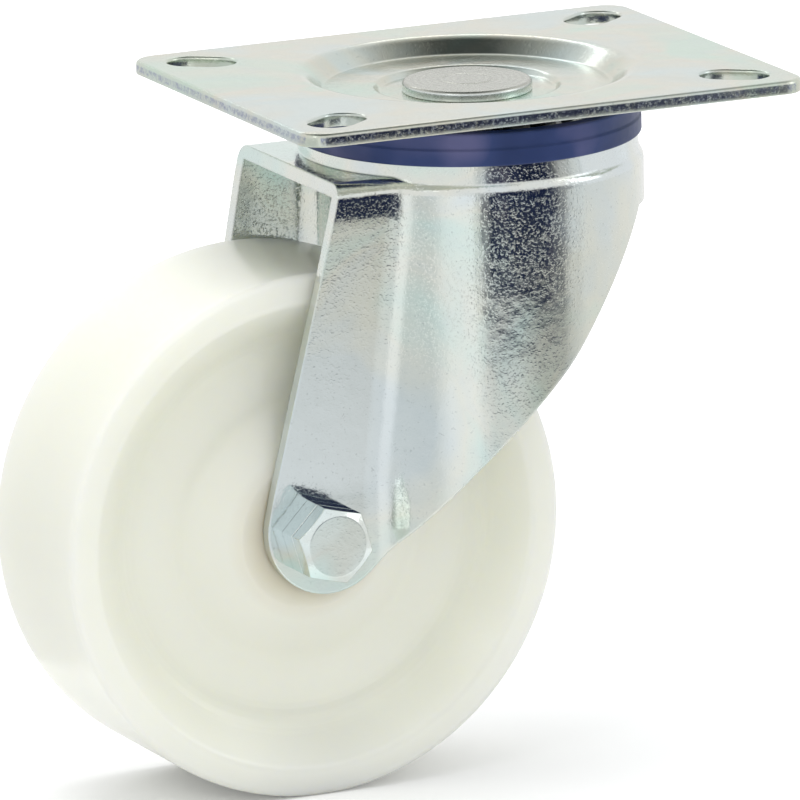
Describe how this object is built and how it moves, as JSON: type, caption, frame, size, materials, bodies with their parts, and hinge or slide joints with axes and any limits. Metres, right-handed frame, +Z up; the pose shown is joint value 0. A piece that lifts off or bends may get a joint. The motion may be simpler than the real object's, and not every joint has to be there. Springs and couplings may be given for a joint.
{
  "type": "swivel plate castor with solid nylon wheel",
  "caption": "Zinc-plated swivel castor with slotted rectangular top plate, pressed steel fork, blue dust seal and solid off-white nylon wheel",
  "frame": {"origin": "centre of the top face of the plate, on the swivel axis", "axes": "+X away from the trailing wheel, +Y along the axle towards the nut, +Z up out of the top plate"},
  "size_m": [0.1394, 0.0806, 0.129],
  "materials": {
    "zinc_plate": "bright zinc plate",
    "zinc_fork": "bright zinc plate",
    "zinc_pin": "turned and zinc plated",
    "zinc_bolt": "zinc plate",
    "bearing_steel": "hardened, light oil",
    "ball_steel": "polished",
    "blue_plastic": "satin moulded",
    "insert_nylon": "natural nylon",
    "wheel_nylon": "natural cast nylon, soft sheen"
  },
  "bodies": {
    "root": {"top_plate": "zinc_plate", "king_pin": "zinc_pin", "lower_race": "bearing_steel"},
    "swivel_fork": {"fork": "zinc_fork", "dust_seal": "blue_plastic", "axle_bolt": "zinc_bolt", "lock_nut": "zinc_bolt", "nut_insert": "insert_nylon", "axle_sleeve": "bearing_steel"},
    "upper_balls": {"upper_ball_01": "ball_steel", "upper_ball_02": "ball_steel", "upper_ball_03": "ball_steel", "upper_ball_04": "ball_steel", "upper_ball_05": "ball_steel", "upper_ball_06": "ball_steel", "upper_ball_07": "ball_steel", "upper_ball_08": "ball_steel", "upper_ball_09": "ball_steel", "upper_ball_10": "ball_steel", "upper_ball_11": "ball_steel", "upper_ball_12": "ball_steel", "upper_ball_13": "ball_steel", "upper_ball_14": "ball_steel", "upper_ball_15": "ball_steel", "upper_ball_16": "ball_steel", "upper_ball_17": "ball_steel", "upper_ball_18": "ball_steel", "upper_ball_19": "ball_steel", "upper_ball_20": "ball_steel"},
    "lower_balls": {"lower_ball_01": "ball_steel", "lower_ball_02": "ball_steel", "lower_ball_03": "ball_steel", "lower_ball_04": "ball_steel", "lower_ball_05": "ball_steel", "lower_ball_06": "ball_steel", "lower_ball_07": "ball_steel", "lower_ball_08": "ball_steel", "lower_ball_09": "ball_steel", "lower_ball_10": "ball_steel", "lower_ball_11": "ball_steel", "lower_ball_12": "ball_steel", "lower_ball_13": "ball_steel", "lower_ball_14": "ball_steel", "lower_ball_15": "ball_steel", "lower_ball_16": "ball_steel"},
    "road_wheel": {"wheel": "wheel_nylon"}
  },
  "joints": [
    {"name": "swivel", "type": "hinge", "parent": "root", "child": "swivel_fork", "pos_m": [0, 0, 0], "axis": [0, 0, 1], "continuous": true},
    {"name": "upper_ball_orbit", "type": "hinge", "parent": "root", "child": "upper_balls", "pos_m": [0, 0, -0.008], "axis": [0, 0, 1], "continuous": true},
    {"name": "lower_ball_orbit", "type": "hinge", "parent": "root", "child": "lower_balls", "pos_m": [0, 0, -0.016], "axis": [0, 0, 1], "continuous": true},
    {"name": "wheel_spin", "type": "hinge", "parent": "swivel_fork", "child": "road_wheel", "pos_m": [-0.04, 0, -0.08], "axis": [0, 1, 0], "continuous": true}
  ],
  "couplings": [
    {"joint": "upper_ball_orbit", "follows": "swivel", "ratio": 0.5},
    {"joint": "lower_ball_orbit", "follows": "swivel", "ratio": 0.5}
  ]
}
